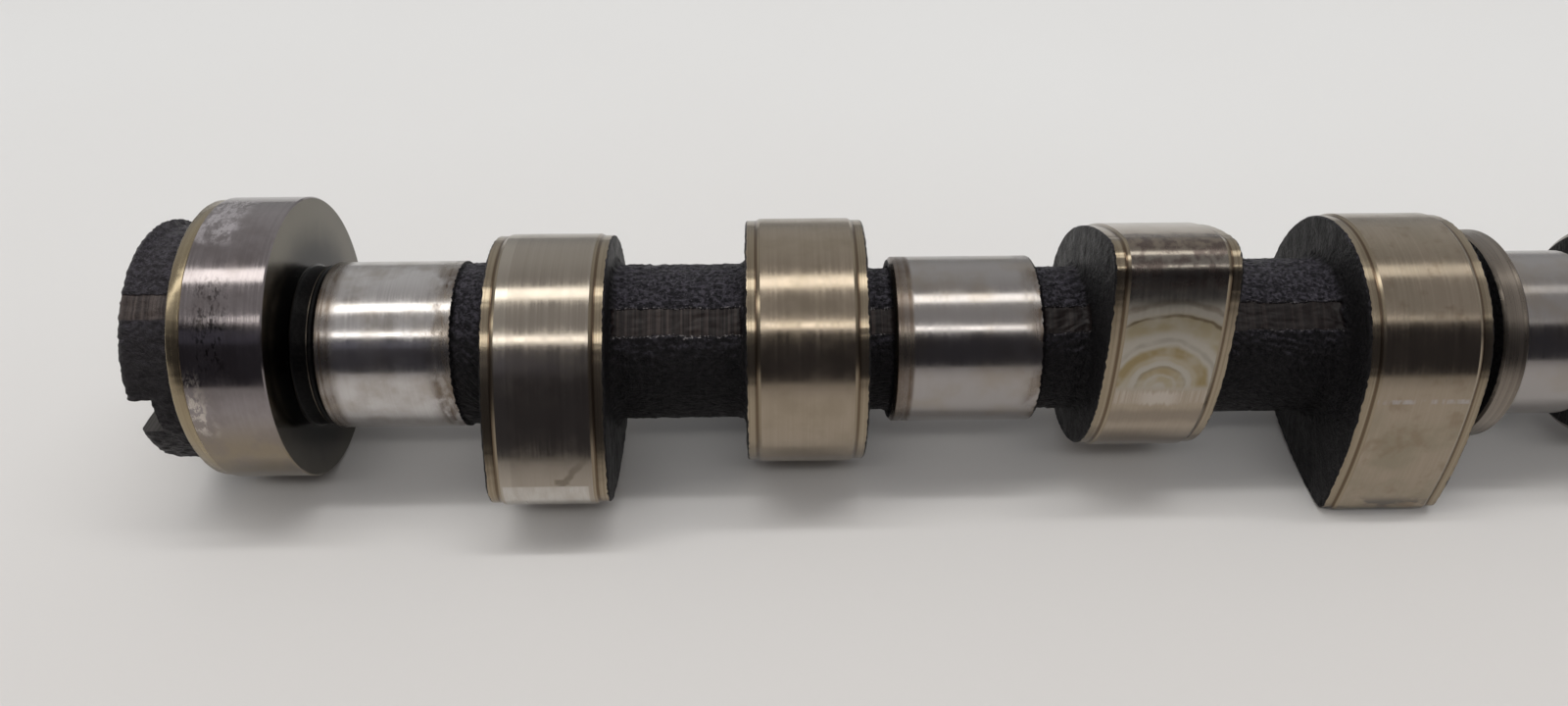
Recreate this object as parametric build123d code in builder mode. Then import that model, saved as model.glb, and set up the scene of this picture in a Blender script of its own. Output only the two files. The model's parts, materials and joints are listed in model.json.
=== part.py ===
"""One-piece cast-iron camshaft with flat-tappet cams for two cylinders.

The shaft lies along X with its front (drive) end towards +X.  The origin is on
the shaft axis, half way along the front bearing journal.  Angles round the shaft
are measured from +Y towards +Z, and +Z points up as the camshaft lies at rest.
All lengths are in millimetres and all angles in degrees.
"""
from build123d import *

import os
from math import atan2, cos, radians, sin, sqrt

# ---------------------------------------------------------------- bearing journals
journal_radius = 13.0
journal_chamfer = 0.5
front_journal_length = 14.0
middle_journal_length = 22.4
rear_journal_length = 20.3
middle_journal_offset = 1.45  # towards the rear of the mid-point between the cam pairs

# ---------------------------------------------------------------- thrust collar
collar_radius = 16.45
collar_width = 3.8
collar_chamfer = 0.35

# ---------------------------------------------------------------- cams
cylinder_spacing = 90.0
cam_pair_spacing = 38.4
front_cam_to_collar = 3.0
cam_width = 18.0
cam_land_width = 13.6
cam_step_width = 0.6
cam_shoulder_drop = 0.32
cam_step_wall = 0.06
cam_edge_chamfer = 0.3

outer_cam_base_radius = 17.1
outer_cam_lift = 9.3
outer_cam_nose_radius = 5.2
outer_cam_flank_radius = 45.0

inner_cam_base_radius = 19.15
inner_cam_lift = 8.6
inner_cam_nose_radius = 2.4
inner_cam_flank_radius = 72.0

rear_outer_cam_angle = 205.0
cam_separation = 110.0  # from an outer cam forward in angle to its inner partner
firing_step = 90.0  # the front pair stands this far behind the rear pair

# ---------------------------------------------------------------- cast shaft
shaft_below_journal = 0.95
neck_below_journal = 1.85
rear_neck_below_journal = 0.4
cam_hub_above_shaft = 3.35
cast_fillet = 1.5
neck_fillet = 1.0
wall_share = 0.75  # most of a step's height that its edge break or root fillet may take
rear_neck_length = 5.0
relief_below_journal = 0.65
journal_relief_length = 3.6
journal_relief_fillet = 0.5

parting_angle = 127.0
parting_flat_depth = 0.17
parting_flat_run_out = 0.6

# ---------------------------------------------------------------- rear eccentric and boss
eccentric_offset = 1.35
eccentric_angle = 50.0
eccentric_radius = 21.85
eccentric_land_width = 11.6
eccentric_shoulder_width = 1.95
eccentric_shoulder_drop = 0.35
eccentric_edge = 0.2
boss_radius = 18.6
boss_length = 8.35
boss_edge_fillet = 0.9
boss_root_fillet = 0.8
drive_slot_width = 6.0
drive_slot_depth = 3.6
drive_slot_angle = 176.0

# ---------------------------------------------------------------- front end
front_neck_length = 5.05
seal_land_radius = 16.5
seal_land_length = 12.0
seal_land_chamfer = 0.8
pulley_seat_radius = 10.5
pulley_seat_length = 14.0
pulley_seat_chamfer = 1.0
bolt_hole_radius = 5.4
bolt_hole_mouth_radius = 6.2
bolt_hole_mouth_angle = 90.0
bolt_hole_depth = 26.0

# ---------------------------------------------------------------- radii of the cast shaft
shaft_radius = journal_radius - shaft_below_journal
neck_radius = journal_radius - neck_below_journal
rear_neck_radius = journal_radius - rear_neck_below_journal
journal_relief_radius = journal_radius - relief_below_journal
cam_hub_radius = shaft_radius + cam_hub_above_shaft

# ---------------------------------------------------------------- places along the axis
front_journal_front = front_journal_length / 2
front_journal_rear = -front_journal_length / 2
collar_rear = front_journal_rear - collar_width
inner_cam_front_x = collar_rear - front_cam_to_collar - cam_width / 2
outer_cam_front_x = inner_cam_front_x - cam_pair_spacing
inner_cam_rear_x = inner_cam_front_x - cylinder_spacing
outer_cam_rear_x = outer_cam_front_x - cylinder_spacing
middle_journal_x = (outer_cam_front_x + inner_cam_rear_x) / 2 - middle_journal_offset
middle_journal_front = middle_journal_x + middle_journal_length / 2
middle_journal_rear = middle_journal_x - middle_journal_length / 2
rear_journal_front = outer_cam_rear_x - cam_width / 2 - rear_neck_length
rear_journal_rear = rear_journal_front - rear_journal_length
eccentric_front = rear_journal_rear - journal_relief_length
eccentric_land_rear = eccentric_front - eccentric_land_width
eccentric_rear = eccentric_land_rear - eccentric_shoulder_width
boss_rear = eccentric_rear - boss_length
seal_land_rear = front_journal_front + front_neck_length
seal_land_front = seal_land_rear + seal_land_length
pulley_seat_front = seal_land_front + pulley_seat_length

eccentric_y = eccentric_offset * cos(radians(eccentric_angle))
eccentric_z = eccentric_offset * sin(radians(eccentric_angle))


def cam_outline(base_radius, lift, nose_radius, flank_radius):
    """Draw a closed cam of four tangent arcs, its nose along the sketch's x axis.

    Each flank is one large arc that runs tangent into the base circle and the nose.
    """
    nose_x = base_radius + lift - nose_radius
    centre_to_flank = flank_radius - base_radius
    nose_to_flank = flank_radius - nose_radius
    flank_x = (centre_to_flank**2 - nose_to_flank**2 + nose_x**2) / (2 * nose_x)
    flank_y = -sqrt(centre_to_flank**2 - flank_x**2)
    nose_turn = atan2(-flank_y, nose_x - flank_x)
    base_turn = atan2(-flank_y, -flank_x)
    flank_turn = (nose_turn + base_turn) / 2

    nose_end = Vector(nose_x + nose_radius * cos(nose_turn), nose_radius * sin(nose_turn))
    base_end = Vector(base_radius * cos(base_turn), base_radius * sin(base_turn))
    flank_mid = Vector(
        flank_x + flank_radius * cos(flank_turn), flank_y + flank_radius * sin(flank_turn)
    )
    nose_end_below = Vector(nose_end.X, -nose_end.Y)
    base_end_below = Vector(base_end.X, -base_end.Y)
    flank_mid_below = Vector(flank_mid.X, -flank_mid.Y)

    ThreePointArc(nose_end_below, (nose_x + nose_radius, 0), nose_end)
    ThreePointArc(nose_end, flank_mid, base_end)
    ThreePointArc(base_end, (-base_radius, 0), base_end_below)
    ThreePointArc(base_end_below, flank_mid_below, nose_end_below)


def cam_blank(base_radius, lift, nose_radius, flank_radius):
    """A cam centred on the YZ plane, nose along +Y.

    The ground land stands a little proud of a shoulder on each side, and runs down
    to it over a short ramp.
    """
    with BuildPart() as blank:
        with BuildSketch(Plane.YZ):
            with BuildLine():
                cam_outline(base_radius, lift, nose_radius, flank_radius)
            make_face()
        extrude(amount=cam_land_width / 2 + cam_step_width, both=True)
        for land_end in (blank.faces().sort_by(Axis.X)[0], blank.faces().sort_by(Axis.X)[-1]):
            chamfer(
                land_end.edges(),
                length=cam_shoulder_drop - cam_step_wall,
                length2=cam_step_width,
                reference=land_end,
            )
    with BuildPart() as shoulders:
        with BuildSketch(Plane.YZ):
            with BuildLine():
                cam_outline(
                    base_radius - cam_shoulder_drop,
                    lift,
                    nose_radius - cam_shoulder_drop,
                    flank_radius - cam_shoulder_drop,
                )
            make_face()
        extrude(amount=cam_width / 2, both=True)
        chamfer(shoulders.faces().filter_by(Axis.X).edges(), cam_edge_chamfer)
        add(blank.part)
    return shoulders.part


def step_points(steps, start_x):
    """Corner points of a stepped half-profile made of (front x, radius) steps."""
    points = []
    x = start_x
    for front_x, radius in steps:
        points += [(x, radius), (front_x, radius)]
        x = front_x
    return points


outer_cam = cam_blank(
    outer_cam_base_radius, outer_cam_lift, outer_cam_nose_radius, outer_cam_flank_radius
)
inner_cam = cam_blank(
    inner_cam_base_radius, inner_cam_lift, inner_cam_nose_radius, inner_cam_flank_radius
)

half_cam = cam_width / 2
shaft_steps = [
    (eccentric_front, cam_hub_radius),
    (rear_journal_rear, journal_relief_radius),
    (rear_journal_front, journal_radius),
    (outer_cam_rear_x - half_cam, rear_neck_radius),
    (outer_cam_rear_x + half_cam, cam_hub_radius),
    (inner_cam_rear_x - half_cam, shaft_radius),
    (inner_cam_rear_x + half_cam, cam_hub_radius),
    (middle_journal_rear, neck_radius),
    (middle_journal_front, journal_radius),
    (outer_cam_front_x - half_cam, neck_radius),
    (outer_cam_front_x + half_cam, cam_hub_radius),
    (inner_cam_front_x - half_cam, shaft_radius),
    (inner_cam_front_x + half_cam, cam_hub_radius),
    (collar_rear, neck_radius),
    (front_journal_rear, collar_radius),
    (front_journal_front, journal_radius),
    (seal_land_rear, neck_radius),
    (seal_land_front, seal_land_radius),
    (pulley_seat_front, pulley_seat_radius),
]
shaft_start = (eccentric_land_rear + eccentric_front) / 2


def profile_corners(sketch, *places):
    """The corners of a profile at the given (x, radius) places."""
    chosen = []
    for x, radius in places:
        chosen.append(sketch.vertices().sort_by_distance((x, radius, 0))[0])
    return chosen


with BuildPart() as camshaft:
    # Turned and cast shaft, from inside the eccentric to the pulley seat.
    with BuildSketch(Plane.XZ) as shaft_profile:
        with BuildLine():
            outline = step_points(shaft_steps, shaft_start)
            Polyline((shaft_start, 0), *outline, (pulley_seat_front, 0), close=True)
        make_face()
        fillet(
            profile_corners(
                shaft_profile,
                (outer_cam_rear_x + half_cam, shaft_radius),
                (inner_cam_rear_x - half_cam, shaft_radius),
                (outer_cam_front_x + half_cam, shaft_radius),
                (inner_cam_front_x - half_cam, shaft_radius),
            ),
            cast_fillet,
        )
        fillet(
            profile_corners(
                shaft_profile,
                (outer_cam_rear_x - half_cam, rear_neck_radius),
                (inner_cam_rear_x + half_cam, neck_radius),
                (outer_cam_front_x - half_cam, neck_radius),
                (inner_cam_front_x + half_cam, neck_radius),
                (collar_rear, neck_radius),
                (seal_land_rear, neck_radius),
            ),
            neck_fillet,
        )
        chamfer(
            profile_corners(
                shaft_profile,
                (middle_journal_rear, journal_radius),
                (middle_journal_front, journal_radius),
                (front_journal_front, journal_radius),
            ),
            min(journal_chamfer, wall_share * neck_below_journal / 2),
        )
        fillet(
            profile_corners(
                shaft_profile,
                (middle_journal_rear, neck_radius),
                (middle_journal_front, neck_radius),
                (front_journal_front, neck_radius),
            ),
            min(neck_fillet, wall_share * neck_below_journal / 2),
        )
        chamfer(
            profile_corners(shaft_profile, (rear_journal_front, journal_radius)),
            min(journal_chamfer, wall_share * rear_neck_below_journal),
        )
        fillet(
            profile_corners(shaft_profile, (eccentric_front, journal_relief_radius)),
            journal_relief_fillet,
        )
        chamfer(
            profile_corners(
                shaft_profile, (collar_rear, collar_radius), (front_journal_rear, collar_radius)
            ),
            collar_chamfer,
        )
        chamfer(
            profile_corners(
                shaft_profile,
                (seal_land_rear, seal_land_radius),
                (seal_land_front, seal_land_radius),
            ),
            seal_land_chamfer,
        )
        chamfer(
            profile_corners(shaft_profile, (pulley_seat_front, pulley_seat_radius)),
            pulley_seat_chamfer,
        )
    revolve(axis=Axis.X)

    # Eccentric disc and rough boss behind the rear journal, both off the shaft axis.
    eccentric_plane = Plane(
        origin=(0, eccentric_y, eccentric_z), x_dir=(1, 0, 0), z_dir=(0, -1, 0)
    )
    shoulder_radius = eccentric_radius - eccentric_shoulder_drop
    with BuildSketch(eccentric_plane) as eccentric_profile:
        with BuildLine():
            Polyline(
                (boss_rear, 0),
                (boss_rear, boss_radius),
                (eccentric_rear, boss_radius),
                (eccentric_rear, shoulder_radius),
                (eccentric_land_rear, shoulder_radius),
                (eccentric_land_rear, eccentric_radius),
                (eccentric_front, eccentric_radius),
                (eccentric_front, 0),
                close=True,
            )
        make_face()
        fillet(profile_corners(eccentric_profile, (boss_rear, boss_radius)), boss_edge_fillet)
        fillet(profile_corners(eccentric_profile, (eccentric_rear, boss_radius)), boss_root_fillet)
        chamfer(
            profile_corners(
                eccentric_profile,
                (eccentric_rear, shoulder_radius),
                (eccentric_land_rear, eccentric_radius),
                (eccentric_front, eccentric_radius),
            ),
            eccentric_edge,
        )
    revolve(axis=Axis((0, eccentric_y, eccentric_z), (1, 0, 0)))

    # Cams, each hub filleted into the shaft on both sides.
    for cam, x, angle in (
        (outer_cam, outer_cam_rear_x, rear_outer_cam_angle),
        (inner_cam, inner_cam_rear_x, rear_outer_cam_angle + cam_separation),
        (outer_cam, outer_cam_front_x, rear_outer_cam_angle - firing_step),
        (inner_cam, inner_cam_front_x, rear_outer_cam_angle + cam_separation - firing_step),
    ):
        with Locations(Location((x, 0, 0), (angle, 0, 0))):
            add(cam)

    # Ground flats where the casting's parting line ran, on the rough stretches.
    for x_rear, x_front, radius in (
        (outer_cam_rear_x + half_cam, inner_cam_rear_x - half_cam, shaft_radius),
        (outer_cam_front_x + half_cam, inner_cam_front_x - half_cam, shaft_radius),
        (inner_cam_rear_x + half_cam, middle_journal_rear, neck_radius),
        (middle_journal_front, outer_cam_front_x - half_cam, neck_radius),
    ):
        flat_rear = x_rear + cast_fillet + parting_flat_run_out
        flat_front = x_front - cast_fillet - parting_flat_run_out
        with BuildSketch(Plane.YZ.offset(flat_rear)):
            with PolarLocations(radius - parting_flat_depth + radius / 2, 2, parting_angle):
                Rectangle(radius, 2 * radius)
        extrude(amount=flat_front - flat_rear, mode=Mode.SUBTRACT)

    # Drive slot across the boss.
    with BuildSketch(Plane.YZ.offset(boss_rear)):
        Rectangle(3 * boss_radius, drive_slot_width, rotation=drive_slot_angle)
    extrude(amount=drive_slot_depth, mode=Mode.SUBTRACT)

    # Bolt hole up the front end.
    with Locations(Plane((pulley_seat_front, 0, 0), z_dir=(1, 0, 0))):
        CounterSinkHole(
            bolt_hole_radius, bolt_hole_mouth_radius, bolt_hole_depth, bolt_hole_mouth_angle
        )

camshaft.part.label = "camshaft"

os.makedirs("parts", exist_ok=True)
export_step(camshaft.part, "parts/camshaft.step")
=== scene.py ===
"""A one-piece cast camshaft, lying on a pale bench.

The casting is one closed skin, swept as rings along its axis (X).  Every ring is a
closed outline round the axis: a circle, a cam or an offset circle.  Lengths are in
millimetres until the mesh is made, and angles are measured from +Y towards +Z.
"""

import json
from math import atan2, cos, pi, radians, sin, sqrt

import bpy
import numpy as np
from mathutils import Matrix, Vector, noise


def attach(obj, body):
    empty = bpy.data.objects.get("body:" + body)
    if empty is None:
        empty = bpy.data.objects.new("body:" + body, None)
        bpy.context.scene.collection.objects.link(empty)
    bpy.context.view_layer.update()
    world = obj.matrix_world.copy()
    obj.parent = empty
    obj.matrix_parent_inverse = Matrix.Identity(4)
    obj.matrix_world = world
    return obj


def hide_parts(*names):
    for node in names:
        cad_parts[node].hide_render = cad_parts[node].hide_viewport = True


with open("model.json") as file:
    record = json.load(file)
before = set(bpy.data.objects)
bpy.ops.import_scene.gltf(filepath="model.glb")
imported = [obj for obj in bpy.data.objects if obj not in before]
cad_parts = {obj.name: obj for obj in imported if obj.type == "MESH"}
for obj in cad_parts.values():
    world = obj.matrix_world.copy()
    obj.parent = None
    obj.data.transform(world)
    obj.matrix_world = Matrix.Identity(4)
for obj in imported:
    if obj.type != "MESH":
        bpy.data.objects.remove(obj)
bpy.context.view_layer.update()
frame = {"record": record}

MM = 0.001
mounts = {mount["name"]: mount for mount in frame["record"]["mounts"]}


def mount_x(name):
    """A mount's place along the shaft."""
    return mounts[name]["pos_m"][0] / MM


def mount_radius(name):
    return mounts[name]["dims"]["r_mm"]


def span(centre, length):
    """The rear and front ends of a length about its centre."""
    return centre - length / 2, centre + length / 2


# ---- radii
journal_radius = mount_radius("front_journal")
shaft_radius = journal_radius - 0.95
neck_radius = journal_radius - 1.85
rear_neck_radius = journal_radius - 0.4
relief_radius = journal_radius - 0.65
collar_radius = mount_radius("thrust_collar")
eccentric_radius = mount_radius("rear_eccentric")
eccentric_offset = 1.35
eccentric_angle = radians(50.0)
eccentric_shoulder_drop = 0.35
boss_radius = 18.6
seal_land_radius = mount_radius("seal_land")
pulley_seat_radius = mount_radius("pulley_seat")
bolt_hole_radius = mount_radius("pulley_bolt")
bolt_hole_mouth = 6.2

# ---- places along the shaft
cylinder_spacing = 90.0
cam_pair_spacing = 38.4
cam_width = 18.0
rear_journal = span(mount_x("rear_journal"), 20.3)
middle_journal = span(mount_x("middle_journal"), 22.4)
front_journal = span(mount_x("front_journal"), 14.0)
collar_rear = front_journal[0] - 3.8
fourth_cam_x = collar_rear - 3.0 - cam_width / 2
seal_land = span(mount_x("seal_land"), 12.0)
pulley_seat_front = seal_land[1] + 14.0
relief_ridge = rear_journal[0] - 1.05
eccentric_land_rear, eccentric_front = span(mount_x("rear_eccentric"), 11.6)
eccentric_rear = eccentric_land_rear - 1.95
boss_rear = mount_x("drive_slot")

# ---- edges and small details
cast_fillet = 1.5
neck_fillet = 1.0
journal_root_fillet = 0.6
relief_fillet = 0.5
journal_chamfer = 0.5
rear_journal_chamfers = (0.25, 0.3)
boss_edge = 0.9
boss_root = ((0.1, 0.45), (0.35, 0.18), (0.8, 0.0))  # how far up and back from the corner
disc_edge = 0.2
disc_rear_step = 1.2
disc_shoulder_step = 0.12
collar_edge = 0.35
collar_groove_pitch = 0.38
collar_groove_depth = 0.035
seal_land_edge = 0.8
seal_land_wall = 3.0
pulley_seat_edge = 1.0
pulley_seat_corner = 0.3
ridge_height = 0.2
ridge_half_width = 0.08
ridge_foot = 0.15

slot_width = 6.0
slot_depth = 3.6
slot_angle = radians(176.0)

bolt_hole_depth = 26.0
bolt_hole_floor = 0.6
thread_length = 20.0
thread_pitch = 1.25
thread_height = 0.55
thread_start = 0.2
rings_a_turn = 4

parting_angle = radians(127.0)
parting_depth = 0.21
parting_run_out = 2.1
parting_fade = 0.8
boss_flat_angle = radians(123.3)
boss_flat_radius = 18.97
boss_flat_share = 0.6

# ---- the skin's grid and grain
segments = 304
hole_segments = 76
nose_density = 2.2
nose_spread = radians(14.0)
cast_pitch = 0.62
face_shares = (0.66, 0.33)
cam_side_shares = (0.15, 0.32, 0.49, 0.65, 0.8, 0.93)

cast_grain = 0.25
side_grain = 0.16
journal_root_grain = 0.12
edge_grain = 0.04
edge_ragged = 0.16
journal_ragged = 0.22
lump_scale = 0.45
sand_scale = 1.3
ragged_scale = 1.7

even = np.arange(segments) * 2 * pi / segments
even_in_hole = np.arange(hole_segments) * 2 * pi / hole_segments

# ---- cams
cam_land_width = 13.6
cam_step_width = 0.6
cam_shoulder_drop = 0.32
cam_edge = 0.25
# Radii and lift, and the directions, in degrees from the nose's, that the ramp runs between.
outer_cam = dict(base=17.1, lift=9.3, nose=5.2, ramp=22.0, ramp_from=88.6, ramp_to=66.0)
inner_cam = dict(base=19.15, lift=8.6, nose=2.4, ramp=19.15, ramp_from=60.0, ramp_to=58.2)


def crowded(nose_angle):
    """Ring angles that stand closer together round a cam's nose."""
    fine = np.linspace(0, 2 * pi, 7201)
    weight = 1 + nose_density * np.exp(-(((fine - pi) / nose_spread) ** 2))
    total = np.concatenate([[0], np.cumsum((weight[1:] + weight[:-1]) / 2)])
    from_back = (even - nose_angle - pi) % (2 * pi)
    placed = np.interp(from_back / (2 * pi) * total[-1], total, fine)
    return even + placed - from_back


def cam_at(name, x, degrees, outline):
    """A cam of this outline, with its nose turned to this angle round the shaft."""
    angle = radians(degrees)
    rear, front = span(x, cam_width)
    places = {"name": name, "x": x, "rear": rear, "front": front, "angle": angle}
    return {**places, **outline, "angles": crowded(angle)}


first_cam = cam_at("first", fourth_cam_x - cylinder_spacing - cam_pair_spacing, 205.0, outer_cam)
second_cam = cam_at("second", fourth_cam_x - cylinder_spacing, 315.0, inner_cam)
third_cam = cam_at("third", fourth_cam_x - cam_pair_spacing, 115.0, outer_cam)
fourth_cam = cam_at("fourth", fourth_cam_x, 225.0, inner_cam)
cams = (first_cam, second_cam, third_cam, fourth_cam)

angle_keys = [(x, even) for x in (*rear_journal, *middle_journal, collar_rear, front_journal[1])]
for cam in cams:
    angle_keys += [(cam["rear"], cam["angles"]), (cam["front"], cam["angles"])]
angle_keys.sort(key=lambda key: key[0])


def angles_at(x):
    """The ring angles at a place along the shaft, eased from one cam's to the next's."""
    for (x0, low), (x1, high) in zip(angle_keys, angle_keys[1:]):
        if x0 <= x <= x1:
            share = (x - x0) / (x1 - x0)
            return low * (1 - share) + high * share
    return even


def direction(degrees):
    return np.array([cos(radians(degrees)), sin(radians(degrees))])


def cam_radius(cam, drop=0.0):
    """A cam's radius round the shaft: base circle, ramp, flank and nose, all tangent arcs."""
    leaving = direction(cam["ramp_from"])
    arriving = direction(cam["ramp_to"])
    ramp_centre = (cam["base"] - cam["ramp"]) * leaving
    nose_centre = np.array([cam["base"] + cam["lift"] - cam["nose"], 0.0])
    gap = nose_centre - ramp_centre - cam["ramp"] * arriving
    flank = (cam["nose"] ** 2 - gap @ gap) / (2 * (gap @ arriving + cam["nose"]))
    flank_centre = ramp_centre + (cam["ramp"] - flank) * arriving
    turning = (nose_centre - flank_centre) / np.linalg.norm(nose_centre - flank_centre)
    away = np.abs((cam["angles"] - cam["angle"] + pi) % (2 * pi) - pi)
    outline = np.full(len(away), cam["base"] - drop)
    for centre, size, start in (
        (ramp_centre, cam["ramp"], leaving),
        (flank_centre, flank, arriving),
        (nose_centre, cam["nose"], turning),
    ):
        first = centre + (size - drop) * start
        along = centre[0] * np.cos(away) + centre[1] * np.sin(away)
        across = centre[0] * np.sin(away) - centre[1] * np.cos(away)
        on_arc = along + np.sqrt(np.maximum((size - drop) ** 2 - across**2, 0.0))
        outline = np.where(away < atan2(first[1], first[0]), on_arc, outline)
    return outline


def offset_circle(radius):
    """Polar radius of a circle whose centre stands off the axis, as the eccentric's does."""
    away = even - eccentric_angle
    return eccentric_offset * np.cos(away) + np.sqrt(
        radius**2 - (eccentric_offset * np.sin(away)) ** 2
    )


def with_flats(radius, angles, share, centre_angle=parting_angle):
    """A round with two flats ground on it where the moulds met, to a share of their depth."""
    flat = radius - parting_depth * share
    away = (angles - centre_angle + pi / 2) % pi - pi / 2
    return np.minimum(radius, flat / np.cos(away))


# ---- rings
class Skin:
    """The casting's rings from rear to front, each with the finish of the band after it."""

    def __init__(self):
        self.rings = []
        self.finish = "turned_face"

    def ring(self, x, radius, grain=0.0, crisp=False, angles=None, ragged=0.0, sandy=True):
        """Adds one closed outline at x.

        Grain is how far the cast skin stands in and out, in sand and broad lumps, or in
        lumps alone. Ragged is how far the outline wanders along the axis, where rough
        skin breaks off at a ground surface.
        """
        angles = angles_at(x) if angles is None else angles
        count = len(angles)
        self.rings.append(
            {
                "x": np.full(count, float(x)),
                "radius": np.broadcast_to(np.asarray(radius, dtype=float), (count,)).copy(),
                "angles": angles,
                "grain": grain,
                "finish": self.finish,
                "crisp": crisp,
                "ragged": ragged,
                "sandy": sandy,
            }
        )

    def edge(self, x, radius, **others):
        """A ring that the shading stays sharp along."""
        self.ring(x, radius, crisp=True, **others)

    def boss(self):
        """The rear boss, milled flat at its end and rough round its side."""
        self.finish = "turned_face"
        for share in (0.06, 0.5):
            self.ring(boss_rear, offset_circle(boss_radius - 1) * share)
        self.finish = "cast_skin"
        for turn in (0, 30, 60, 90):
            inset = boss_edge * (1 - sin(radians(turn)))
            back = boss_edge * (1 - cos(radians(turn)))
            self.ring(boss_rear + back, offset_circle(boss_radius - inset), cast_grain * 0.8)
        flats = with_flats(boss_flat_radius, even, boss_flat_share, boss_flat_angle)
        side = np.minimum(offset_circle(boss_radius), flats)
        side_front = eccentric_rear - 0.75
        for x in np.arange(boss_rear + boss_edge + cast_pitch, side_front, cast_pitch):
            self.ring(x, side, cast_grain * 1.3)
        for rise, back in boss_root:
            self.ring(eccentric_rear - back, offset_circle(boss_radius + rise), cast_grain * 0.6)

    def eccentric(self):
        """The ground disc, whose centre stands off the axis."""
        shoulder_radius = eccentric_radius - eccentric_shoulder_drop
        rim = offset_circle(eccentric_radius - disc_edge)
        land = offset_circle(eccentric_radius)
        self.finish = "cast_skin"
        self.ring(eccentric_rear, offset_circle(shoulder_radius - disc_rear_step), side_grain)
        self.finish = "eccentric_shoulder"
        rear_rim = offset_circle(shoulder_radius - disc_edge)
        shoulder = offset_circle(shoulder_radius)
        self.edge(eccentric_rear, rear_rim, grain=edge_grain)
        self.ring(eccentric_rear + disc_edge, shoulder, edge_grain)
        self.edge(eccentric_land_rear - disc_shoulder_step, shoulder)
        self.edge(eccentric_land_rear, rim)
        self.finish = "eccentric_land"
        self.edge(eccentric_land_rear + disc_edge, land)
        self.ring((eccentric_land_rear + eccentric_front) / 2, land)
        self.edge(eccentric_front - disc_edge, land)
        self.finish = "eccentric_face"
        self.edge(eccentric_front, rim)
        root = relief_radius + relief_fillet
        for share in face_shares:
            self.ring(eccentric_front, root + (rim - root) * share)
        self.edge(eccentric_front, root)

    def relief(self):
        """The groove between the disc and the rear journal, painted black as its shade, with a
        thin ridge in it.
        """
        turning = relief_fillet * 0.3
        ridge_radius = relief_radius + ridge_height
        self.finish = "relief_shade"
        self.ring(eccentric_front + turning, relief_radius + turning)
        self.ring(eccentric_front + relief_fillet, relief_radius)
        self.edge(relief_ridge - ridge_foot, relief_radius)
        self.finish = "collar_turning"
        self.edge(relief_ridge - ridge_half_width, ridge_radius)
        self.finish = "relief_shade"
        self.edge(relief_ridge + ridge_half_width, ridge_radius)
        self.ring(relief_ridge + ridge_half_width * 2, relief_radius - ridge_height / 2)
        self.ring(rear_journal[0], relief_radius)

    def journal(self, ends, rear_chamfer, front_chamfer):
        """A ground journal with its edges broken. Cast skin starts at its front edge."""
        rear, front = ends
        self.finish = "ground_journal"
        if rear_chamfer:
            self.edge(rear, journal_radius - rear_chamfer)
        self.edge(rear + rear_chamfer, journal_radius)
        self.ring((rear + front) / 2, journal_radius)
        self.finish = "cast_skin"
        self.edge(front - front_chamfer, journal_radius, ragged=journal_ragged)
        self.ring(front, journal_radius - front_chamfer, journal_root_grain)

    def cast_stretch(self, rear, front, radius, rear_fillet, front_fillet, flats=True):
        """A rough round between two walls, with a fillet at either end where one is given."""
        self.finish = "cast_skin"
        places = []
        for turn in (0, 25, 50, 75):
            if rear_fillet:
                places.append(rear + rear_fillet * (1 - cos(radians(turn))))
            if front_fillet:
                places.append(front - front_fillet * (1 - cos(radians(turn))))
        straight_rear = rear + rear_fillet
        straight_front = front - front_fillet
        count = max(2, round((straight_front - straight_rear) / cast_pitch))
        places += list(np.linspace(straight_rear, straight_front, count + 1))
        for x in sorted(places):
            rise = 0.0
            for wall_gap, fillet in ((x - rear, rear_fillet), (front - x, front_fillet)):
                if wall_gap < fillet:
                    rise = fillet - sqrt(fillet**2 - (fillet - wall_gap) ** 2)
            nearest_wall = min(x - rear, front - x)
            outline = radius + rise
            share = min((nearest_wall - parting_run_out) / parting_fade, 1.0)
            if flats and share > 0:
                outline = with_flats(radius + rise, angles_at(x), share)
            at_wall = nearest_wall < 0.01
            self.ring(x, outline, cast_grain * (0.35 if at_wall else 1.0))

    def cam(self, cam, rear_root, front_root):
        """One cam: rough sides, a lower shoulder at each edge and a ground land between."""
        angles = cam["angles"]
        rear, front = cam["rear"], cam["front"]
        land_rear, land_front = span(cam["x"], cam_land_width)
        land = cam_radius(cam)
        shoulder = cam_radius(cam, cam_shoulder_drop)
        rim = shoulder - cam_edge
        broken = {"grain": edge_grain, "angles": angles}
        self.finish = "cast_skin"
        for share in cam_side_shares:
            radius = rear_root + (rim - rear_root) * share
            self.ring(rear, radius, side_grain, angles=angles, sandy=False)
        self.edge(rear, rim, ragged=edge_ragged / 2, **broken)
        self.finish = "cam_shoulder"
        self.edge(rear + cam_edge, shoulder, ragged=edge_ragged, **broken)
        self.edge(land_rear - cam_step_width, shoulder, angles=angles)
        self.finish = "cam_" + cam["name"]
        self.edge(land_rear, land, angles=angles)
        self.ring(cam["x"], land, angles=angles)
        self.finish = "cam_shoulder"
        self.edge(land_front, land, angles=angles)
        self.edge(land_front + cam_step_width, shoulder, angles=angles)
        self.finish = "cast_skin"
        self.edge(front - cam_edge, shoulder, ragged=edge_ragged, **broken)
        self.edge(front, rim, ragged=edge_ragged / 2, **broken)
        for share in reversed(cam_side_shares):
            radius = front_root + (rim - front_root) * share
            self.ring(front, radius, side_grain, angles=angles, sandy=False)

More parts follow.
